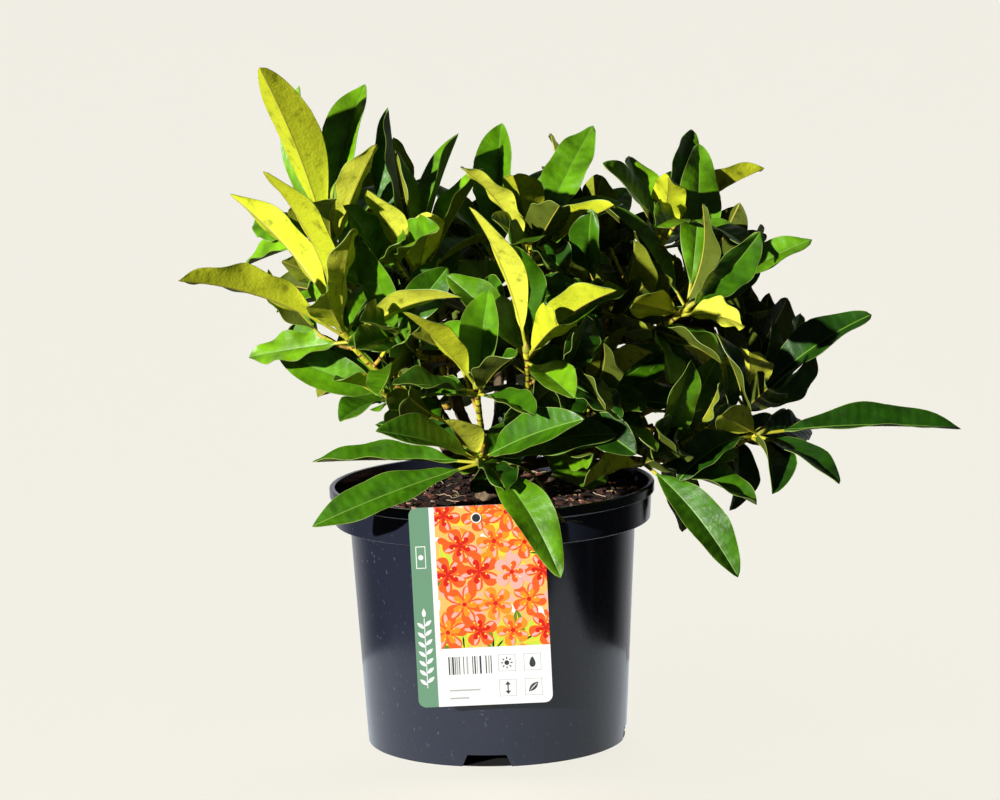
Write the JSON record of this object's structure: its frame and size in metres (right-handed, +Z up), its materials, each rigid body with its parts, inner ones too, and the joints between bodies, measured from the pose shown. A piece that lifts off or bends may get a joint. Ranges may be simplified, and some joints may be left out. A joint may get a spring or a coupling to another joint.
{
  "type": "potted rhododendron",
  "caption": "Evergreen rhododendron shrub with whorls of long leathery leaves, grown in a round nursery pot with a root ball and a hanging plant label.",
  "frame": {"origin": "centre of the pot's underside, on the ground", "axes": "+Z up, +X to the right and -Y to the front, where the label hangs"},
  "size_m": [0.5367, 0.3681, 0.4845],
  "materials": {
    "pot_plastic": "gloss",
    "soil": "matte",
    "label_card": "satin",
    "bark": "matte",
    "foliage": "satin"
  },
  "bodies": {
    "root": {"pot": "pot_plastic", "root_ball": "soil", "label": "label_card", "trunk": "bark", "bough_left_high": "bark", "bough_left_front": "bark", "bough_centre_left": "bark", "bough_centre_high": "bark", "bough_centre_front": "bark", "bough_front_low": "bark", "bough_right_high": "bark", "bough_right_far": "bark", "bough_right_low": "bark", "bough_back_left": "bark", "bough_back_high": "bark", "bough_back_right": "bark", "bough_back_low": "bark", "foliage_left_high": "foliage", "foliage_left_front": "foliage", "foliage_centre_left": "foliage", "foliage_centre_high": "foliage", "foliage_centre_front": "foliage", "foliage_front_low": "foliage", "foliage_right_high": "foliage", "foliage_right_far": "foliage", "foliage_right_low": "foliage", "foliage_back_left": "foliage", "foliage_back_high": "foliage", "foliage_back_right": "foliage", "foliage_back_low": "foliage"}
  },
  "joints": []
}
